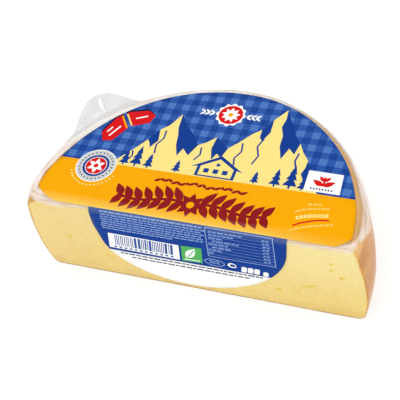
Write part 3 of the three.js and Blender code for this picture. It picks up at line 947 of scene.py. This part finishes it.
def draw_alps():
    """Mountains in the sun behind firs and a hut, with their shaded sides in blue"""
    ridge = [
        (-43, 24.3), (-38, 31), (-34.5, 35.5), (-31, 41), (-27.5, 47.5), (-24, 51), (-20.5, 58.5),
        (-17.5, 54), (-14.5, 50.5), (-11, 47), (-7, 41.5), (-4, 43.5), (0, 47.5), (3, 44.5),
        (7, 42), (11, 46.5), (15, 52), (18.5, 55), (22, 61.5), (26.5, 68.5), (29, 63.5), (32, 59),
        (34.5, 53.5), (37.5, 50), (40, 45.5), (43.5, 41), (46, 35.5), (49, 29), (52, 24.3),
    ]
    area("pale_yellow", ridge)
    for first, last, inner in (
        (6, 10, [(-9.5, 35), (-13, 38.5), (-14.5, 34), (-17, 40), (-18.2, 46), (-19.6, 50)]),
        (12, 14, [(5.5, 36), (3, 38.2), (1.6, 34.5), (-0.4, 40.5)]),
        (19, 23, [(36.5, 43.5), (33.5, 46.5), (31.5, 40), (29, 47), (28.6, 53), (26.6, 58),
                  (27.2, 63)]),
        (3, 4, [(-26, 41), (-28.5, 36.5), (-29.5, 39)]),
        (25, 26, [(48, 31.4), (44.5, 30), (42.5, 33.5), (43.4, 37)]),
        (17, 18, [(22.6, 54), (20.4, 48.5), (18.8, 50.5)]),
    ):
        area("blue", ridge[first:last + 1] + inner)
    for gully in (
        [(-24.5, 47.5), (-24, 43), (-26, 38.5), (-25, 33.5)],
        [(21, 50), (19.5, 45), (21.5, 40), (20, 35)],
        [(12.5, 46), (13.5, 41), (11.5, 37), (12.5, 33)],
        [(-5, 40.5), (-4.2, 36.5), (-6, 33)],
        [(38.5, 44.5), (38, 40), (39.5, 36), (38.5, 32)],
        [(-35.5, 33.5), (-34.5, 30.5), (-36, 27.5)],
    ):
        area("blue", stroke(gully, 0.8))
    for u, height, width in ((-37, 9, 5), (-31.5, 12, 6), (-25.5, 8.5, 5), (-12, 7, 4.4),
                             (33, 10, 5.4), (39.5, 13, 6.4), (45, 8, 4.6), (24, 7, 4.2)):
        fir("blue", u, GROUND, height, width)
    hut = [(-3, GROUND), (15, GROUND), (15, 30.2), (18, 29.4), (6, 37.2), (-6, 29.4), (-3, 30.2)]
    area("blue", hut)
    area("pale_yellow", [(-1.6, 25.5), (13.6, 25.5), (13.6, 30.5), (6, 35.2), (-1.6, 30.5)])
    for u in (0.4, 4.7, 9.0):
        area("blue", box(u, 27, 2.4, 2.4))
    area("blue", ellipse(6, 32, 0.9, 0.9, 12))


def draw_rosette():
    """A round scalloped rosette with a daisy, between two sprigs"""
    u, v = 1.5, 61.5
    rim = []
    for k in range(96):
        angle = 2 * pi * k / 96
        reach = 6.6 + 0.45 * cos(12 * angle)
        rim.append((u + reach * cos(angle), v + reach * sin(angle)))
    area("white", rim)
    area("red", ellipse(u, v, 5.6, 5.6, 40))
    flower("white", "orange", u, v, 4.4, 9, 2.1)
    for side in (-1, 1):
        for k in range(3):
            at = u + side * (7.6 + 2.2 * k)
            for turn in (0.6, -0.6):
                angle = turn if side > 0 else pi - turn
                area("white", leaf(at, v, angle, 3.0, 1.1))


def draw_garland():
    """Two leafy branches from a blossom in the middle of the orange, with berries"""
    middle_u, middle_v, length = 1.5, 8.6, 34.0

    def on_branch(side, reach):
        return middle_u + side * reach, middle_v + 1.3 * sin(reach / length * 2 * pi)

    for side in (-1, 1):
        area("dark_red", stroke([on_branch(side, length * k / 39) for k in range(40)], 1.5))
        for k in range(7):
            u, v = on_branch(side, 5.6 + 4.55 * k)
            for turn, share in ((0.95, 1), (-0.95, 0.9)):
                angle = turn if side > 0 else pi - turn
                area("dark_red", leaf(u - side * 1.2, v, angle, (9.2 - 0.3 * k) * share, 3.8))
    flower("dark_red", "orange", middle_u, middle_v, 6.4, 8, 3.2)
    for k in range(21):
        u = -17.5 + 39.5 * k / 20
        v = 19.3 + 0.5 * sin(k * 0.9)
        berry = ellipse(u, v + 0.2, 0.8, 0.8, 12)
        area("dark_red", berry if k % 2 else leaf(u - 1.6, v - 0.9, 0.5, 4.0, 1.5, 6))


def draw_arrows():
    """Two red arrow flags that point away from the opening tab"""
    left = [(-48.5, 53.4), (-43.1, 46.0), (-47.6, 37.6), (-52.2, 36.8), (-54.5, 41.8), (-50.8, 51.2)]
    right = [(-47.3, 54.4), (-42.1, 47.2), (-34.2, 50.7), (-32.9, 55.4), (-37.2, 57.9), (-46.0, 55.6)]
    for flag in (left, right):
        area("navy", [(u - 0.5, v + 0.9) for u, v in flag])
    for flag in (left, right):
        area("red", flag)
    area("orange", stroke([(-48.6, 52.7), (-43.6, 45.9)], 0.8))
    area("pale_yellow", stroke([(-46.7, 54.2), (-41.9, 47.8)], 0.7))
    for u, v, long in ((-52.0, 42.2, 3.6), (-50.2, 40.0, 7.4)):
        area("white", stroke([(u, v), (u + long * 0.45, v + long * 0.89)], 0.8))
    area("white", stroke([(-41.6, 52.2), (-36.4, 54.6)], 0.8))


def draw_seal():
    """A round seal with a dotted ring and a flower"""
    u, v = -48.8, 22.0
    area("white", ellipse(u, v, 9.4, 9.4, 48))
    area("grey", ellipse(u, v, 9.0, 9.0, 48))
    for k in range(26):
        angle = 2 * pi * k / 26
        area("dark", ellipse(u + 7.6 * cos(angle), v + 7.6 * sin(angle), 0.42, 0.42, 8))
    area("blue", ellipse(u, v, 6.2, 6.2, 40))
    area("white", ellipse(u, v, 5.1, 5.1, 40))
    area("red", ellipse(u, v, 4.8, 4.8, 40))
    flower("white", "red", u, v, 4.3, 6, 2.0)
    for k in range(15):
        angle = radians(204 + 132 * k / 14)
        area("pale_yellow", ellipse(u + 11.2 * cos(angle), v + 11.2 * sin(angle), 0.55, 0.4, 8))


def draw_ticket():
    """A white ticket with a red plant, and the small mark below it"""
    area("white", [(45.5, 36.2), (60.4, 36.1), (61.4, 25.4), (45.9, 25.4)])
    area("red", stroke([(53.3, 28.6), (53.4, 31.0), (53.2, 33.6)], 0.9))
    for side in (-1, 1):
        area("red", leaf(53.3, 28.8, pi / 2 - side * 1.05, 5.6, 2.6))
        area("red", leaf(53.3, 31.2, pi / 2 - side * 0.75, 3.6, 1.7))
    for k in range(8):
        area("dark", box(48.4 + 1.25 * k, 26.5, 0.7, 0.9))
    bent_words("soft_yellow", [(50.0, 18.3), (55.6, 19.2)], 0.9, 11)
    line = [(45.9, 13.6), (48.6, 15.2), (51.6, 16.2), (56.0, 17.1), (60.4, 17.6)]
    bent_words("soft_yellow", line, 0.9, 12)
    line = [(47.2, 10.6), (50.3, 12.0), (53.4, 12.9), (60.2, 14.1)]
    bent_words("pale_yellow", line, 1.7, 13, 0.7, 1.6, 0.35)
    line = [(46.3, 4.2), (48.9, 5.4), (51.5, 6.6), (56.0, 8.2), (63.0, 9.9)]
    bent_words("soft_yellow", line, 1.0, 14)
    line = [(46.9, 6.6), (49.7, 8.4), (53.4, 10.1), (57.2, 11.3), (60.8, 11.8)]
    area("red", stroke(line, 0.8))


def draw_flap():
    """Bars for the small print, the table, the striped box, the green square and the marks"""
    for row in range(8):
        v = -1.7 - 1.62 * row
        left = -37.8 + FLAP_LEAN * v + (0.0, 0.5, 0.2, 0.0, 0.6, 0.2, 0.0, 0.4)[row]
        width = (48.0, 48.5, 47.2, 48.6, 46.8, 48.0, 48.2, 34.0)[row]
        words("soft_blue", left, v, width, 0.85, 100 + row, 1.0, 3.6, 0.38)
    area("white", [(-38.1, -16.2), (-4.2, -16.3), (-5.8, -27.2), (-40.1, -26.9)])
    chance = random.Random(31)
    at = -36.6
    while at < -9.4:
        width = chance.choice((0.45, 0.45, 0.8, 1.2))
        area("bar_blue", box(at, -24.6, width, 7.7, FLAP_LEAN))
        at += width + chance.choice((0.4, 0.4, 0.6))
    for k in range(12):
        area("bar_blue", box(-37.6 + 2.5 * k, -26.4, 1.4, 1.1, FLAP_LEAN))
    area("green", [(-3.1, -16.3), (6.4, -16.0), (4.9, -26.9), (-4.8, -27.4)])
    area("white", leaf(-2.2, -24.6, 0.95, 9.2, 4.0))
    area("green", stroke([(-1.6, -24.2), (2.6, -18.4)], 0.5))
    area("white", stroke([(-3.4, -26.0), (4.0, -25.6)], 0.6))

    corners = [(11.0, -0.7), (40.5, -0.9), (39.2, -20.3), (8.9, -20.4)]
    for first, second in zip(corners, corners[1:] + corners[:1]):
        area("pale_blue", stroke([first, second], 0.35))
    for row in range(8):
        v = -3.2 - 2.15 * row
        left = 12.8 + FLAP_LEAN * v + (1.6 if row in (3, 5) else 0)
        words("soft_blue", left, v, (15, 11, 6, 12, 10, 9, 6, 4)[row], 0.9, 200 + row, 1.2, 3.6, 0.4)
        words("soft_blue", 35.8 + 0.08 * v, v - 0.2, 3.2, 0.9, 300 + row, 0.9, 1.6, 0.4)
        area("soft_blue", stroke([(12.0 + 0.16 * v, v - 0.6), (40.2 + 0.06 * v, v - 0.75)], 0.18))

    area("pale_blue", ellipse(10.9, -24.6, 4.7, 2.5, 28))
    area("blue", ellipse(10.9, -24.6, 4.3, 2.1, 28))
    for v in (-24.0, -25.3):
        words("pale_blue", 8.6, v, 4.8, 0.55, int(-v * 10), 0.8, 1.6, 0.35)
    area("white", ellipse(18.9, -24.6, 2.0, 1.7, 24))
    area("blue", ellipse(19.2, -24.6, 1.3, 1.05, 20))
    for u, low, width, height in ((22.5, -28.1, 2.5, 3.9), (25.4, -28.1, 2.5, 3.9),
                                  (28.3, -28.1, 2.5, 3.9), (32.3, -28.4, 2.4, 3.0)):
        mark = rounded_box(u, low, width, height, 0.8)
        area("white", [(a + FLAP_LEAN * (h - low), h) for a, h in mark])

    words("dark", -35.6, -30.5, 68.6, 0.95, 400, 1.0, 3.4, 0.45)
    words("dark", -30.5, -32.6, 56.0, 0.95, 401, 1.0, 3.4, 0.45)


def corner_curve(corner, turns):
    """Distances in from the label's side and back from its crease along a rounded corner"""
    width, depth = corner
    power = 2 / CORNER_POWER
    return [(width * (1 - sin(t) ** power), depth * (1 - cos(t) ** power)) for t in turns]


def left_trim(v):
    """How much the flap's left side is trimmed at a place along the label"""
    depth, place, length = FLAP_LEFT_TRIM
    return depth * exp(-(((v - place) / length) ** 2))


def label_outline():
    """The die-cut edge of the flat label, anticlockwise from the front right corner"""
    turns = np.linspace(0, pi / 2, 17)
    right = corner_curve(LABEL_RIGHT_CORNER, turns)
    left = corner_curve(LABEL_LEFT_CORNER, turns[::-1])
    points = [(LABEL_RIGHT - inward, back) for inward, back in right]
    for degrees in np.arange(3, 176, 1.0):
        radius = np.interp([degrees - 3, degrees, degrees + 3], *LABEL_EDGE.T).mean()
        turn = radians(degrees)
        points.append((radius * cos(turn), CREASE_REACH + radius * sin(turn)))
    points += [(inward - LABEL_LEFT, back) for inward, back in left]
    round_start = -HALF_EDGE - (HEIGHT - SHOULDER_FILLET - FLAP_ROUND_HEIGHT)
    depth = FLAP_ROUND_HEIGHT - FLAP_END_HEIGHT
    flap = [(v, FLAP_HALF_WIDTH) for v in np.linspace(0, round_start, 16)]
    for turn in np.linspace(0, pi / 2, 40)[1:]:
        flap.append((round_start - depth * sin(turn), FLAP_HALF_WIDTH * cos(turn)))
    points += [(FLAP_CENTRE + FLAP_SKEW * v - half + left_trim(v), v) for v, half in flap]
    points += [(FLAP_CENTRE + FLAP_SKEW * v + half, v) for v, half in flap[-2::-1]]
    return points


# Where the ground of the print changes, along the label
BAND_TOP = 24.3
FLAP_BLUE_END = -28.7

# Spacing of the sheet's inner points, and its rows over the bend
PRINT_GRID = 3.0
BEND_ROWS = 17

INKS = {
    "check": check_material,
    "orange": orange_material,
    "blue": (12, 60, 144),
    "navy": (12, 18, 52),
    "white": (255, 255, 252),
    "pale_yellow": (254, 229, 138),
    "dark_red": (142, 24, 30),
    "red": (220, 18, 22),
    "green": (84, 178, 92),
    "soft_yellow": (253, 206, 96),
    "pale_blue": (150, 174, 220),
    "soft_blue": (128, 156, 210),
    "bar_blue": (50, 84, 156),
    "dark": (70, 78, 110),
    "grey": (206, 208, 208),
    "paper": (238, 236, 230),
}


def base_ink(v):
    if v > BAND_TOP:
        return "check"
    if v > 0:
        return "orange"
    return "blue" if v > FLAP_BLUE_END else "white"


def print_triangles():
    """Points of the flat label, its triangles and the ink of each"""
    draw_alps()
    draw_rosette()
    draw_garland()
    draw_arrows()
    draw_seal()
    draw_ticket()
    draw_flap()
    points = label_outline()
    faces = [list(range(len(points)))]
    edges = []
    for _, corners in areas:
        first = len(points)
        points += corners
        faces.append(list(range(first, len(points))))
    bends = np.linspace(-HALF_EDGE, HALF_EDGE, BEND_ROWS)
    for v in [BAND_TOP, FLAP_BLUE_END, *bends]:
        half = LABEL_RIGHT + 3
        edges.append((len(points), len(points) + 1))
        points += [(-half, v), (half, v)]
    for u in np.arange(-69, 70, PRINT_GRID):
        points += [(u + 0.35, v + 0.45) for v in np.arange(-44, 75, PRINT_GRID)]
        points += [(u + 0.35, v) for v in bends]
    vectors = [Vector(p) for p in points]
    made, _, triangles, _, _, sources = delaunay_2d_cdt(vectors, edges, faces, 1, 1e-4)
    kept = []
    inks = []
    names = list(INKS)
    for triangle, source in zip(triangles, sources):
        if 0 not in source:
            continue
        top = max(source)
        middle = sum(made[i].y for i in triangle) / 3
        ink = areas[top - 1][0] if top else base_ink(middle)
        kept.append(tuple(triangle))
        inks.append(names.index(ink))
    used = sorted({i for triangle in kept for i in triangle})
    number = {old: new for new, old in enumerate(used)}
    flat = np.array([made[i] for i in used], float)
    return flat, [tuple(number[i] for i in triangle) for triangle in kept], inks


def on_label(flat, lift):
    """The flat label's points bent over the edge, at a distance from the film"""
    u = flat[:, 0]
    v = flat[:, 1]
    reach = SHOULDER_FILLET + lift
    angle = pi / 4 * (1 + np.clip(v / HALF_EDGE, -1, 1))
    y = -CUT_OFFSET + SHOULDER_FILLET - reach * np.cos(angle) + np.maximum(v - HALF_EDGE, 0)
    z = HEIGHT - SHOULDER_FILLET + reach * np.sin(angle) + np.minimum(v + HALF_EDGE, 0)
    return np.stack([u, y, z], axis=1)


def make_label():
    flat, triangles, inks = print_triangles()
    u, v = flat.T
    wave = level_noise(u, v, 15, 2.0) + 0.4 * level_noise(u, v, 5, 5.0)
    lift = LABEL_LIFT + 0.06 * wave + swell(on_label(flat, 0.0))
    points = np.concatenate([on_label(flat, lift + LABEL_THICKNESS), on_label(flat, lift)])
    faces, rim_start, edges = sheet_faces(triangles, len(flat))
    paper = list(INKS).index("paper")
    all_inks = inks + [paper] * len(triangles)
    for (a, b), number in edges.items():
        at_crease = max(abs(v[a]), abs(v[b])) < CREASE_RIM
        all_inks.append(paper if at_crease else inks[number])
    materials = [ink() if callable(ink) else ink_material(name, ink) for name, ink in INKS.items()]
    made = piece("label_print", points, faces, materials, "label", all_inks, rim_start)
    flat_map(made, flat)


# Stage, light and camera

CAMERA_AZIMUTH = radians(32.96)
CAMERA_ELEVATION = radians(48.31)
CAMERA_ROLL = radians(16.93)
CAMERA_DISTANCE = 446.25
CAMERA_TARGET = (4.57, 8.42, 49.0)
CAMERA_LENS = 95.85
SENSOR_WIDTH = 36

# Area lights: where each shines from, its distance, width and height in metres, and its power
LIGHTS = {
    "key": ((0.15, -0.9, 0.55), 0.95, 0.6, 0.4, 1.95),
    "top": ((-0.1, -0.1, 1.0), 0.95, 0.7, 0.7, 1.2),
    "left": ((-0.85, -0.35, 0.45), 0.95, 0.5, 0.5, 1.4),
    "right": ((0.9, 0.15, 0.5), 0.95, 0.5, 0.5, 2.2),
    "back": ((-0.35, 0.8, 0.7), 0.9, 0.5, 0.2, 1.2),
}
LIT_HEIGHT = 0.03
WORLD_LIGHT = 0.56
FLOOR_REACH = 3.0
FLOOR_GLOW = 0.68


def make_camera():
    data = bpy.data.cameras.new("camera")
    data.lens = CAMERA_LENS
    data.sensor_width = SENSOR_WIDTH
    data.clip_start = 0.01
    camera = linked("camera", data)
    level = cos(CAMERA_ELEVATION)
    forward = Vector((
        -sin(CAMERA_AZIMUTH) * level,
        cos(CAMERA_AZIMUTH) * level,
        -sin(CAMERA_ELEVATION),
    ))
    target = Vector(to_frame(CAMERA_TARGET)[0])
    camera.location = target - forward * CAMERA_DISTANCE * MM
    turn = forward.to_track_quat("-Z", "Y") @ Quaternion((0, 0, 1), -CAMERA_ROLL)
    camera.rotation_euler = turn.to_euler()
    bpy.context.scene.camera = camera


def make_lights():
    for name, (direction, distance, width, height, power) in LIGHTS.items():
        data = bpy.data.lights.new(name, "AREA")
        data.shape = "RECTANGLE"
        data.size = width
        data.size_y = height
        data.energy = power
        light = linked(name, data)
        away = Vector(direction).normalized()
        light.location = away * distance + Vector((0, 0, LIT_HEIGHT))
        light.rotation_euler = away.to_track_quat("Z", "Y").to_euler()


def make_studio():
    world = bpy.data.worlds.new("studio")
    world.use_nodes = True
    background = world.node_tree.nodes["Background"]
    background.inputs["Color"].default_value = (1, 1, 1, 1)
    background.inputs["Strength"].default_value = WORLD_LIGHT
    bpy.context.scene.world = world
    bpy.context.scene.view_settings.view_transform = "Standard"

    mesh = bpy.data.meshes.new("floor")
    corners = [(FLOOR_REACH * x, FLOOR_REACH * y, 0) for x, y in ((-1, -1), (1, -1), (1, 1), (-1, 1))]
    mesh.from_pydata(corners, [], [(0, 1, 2, 3)])
    floor = linked("floor", mesh)
    graph = Graph("floor_paper")
    grain = graph.noise(graph.millimetres(), 3, 2)
    mesh.materials.append(graph.principled({
        "Base Color": graph.mix(grain, (0.40, 0.40, 0.40, 1), (0.42, 0.42, 0.42, 1)),
        "Roughness": 0.9,
        "Specular IOR Level": 0.0,
        "Emission Color": (1, 1, 1, 1),
        "Emission Strength": FLOOR_GLOW,
    }))


make_camera()
make_lights()
make_studio()
make_cheese()
make_film()
make_seam()
make_tab()
make_label()

bpy.context.view_layer.update()
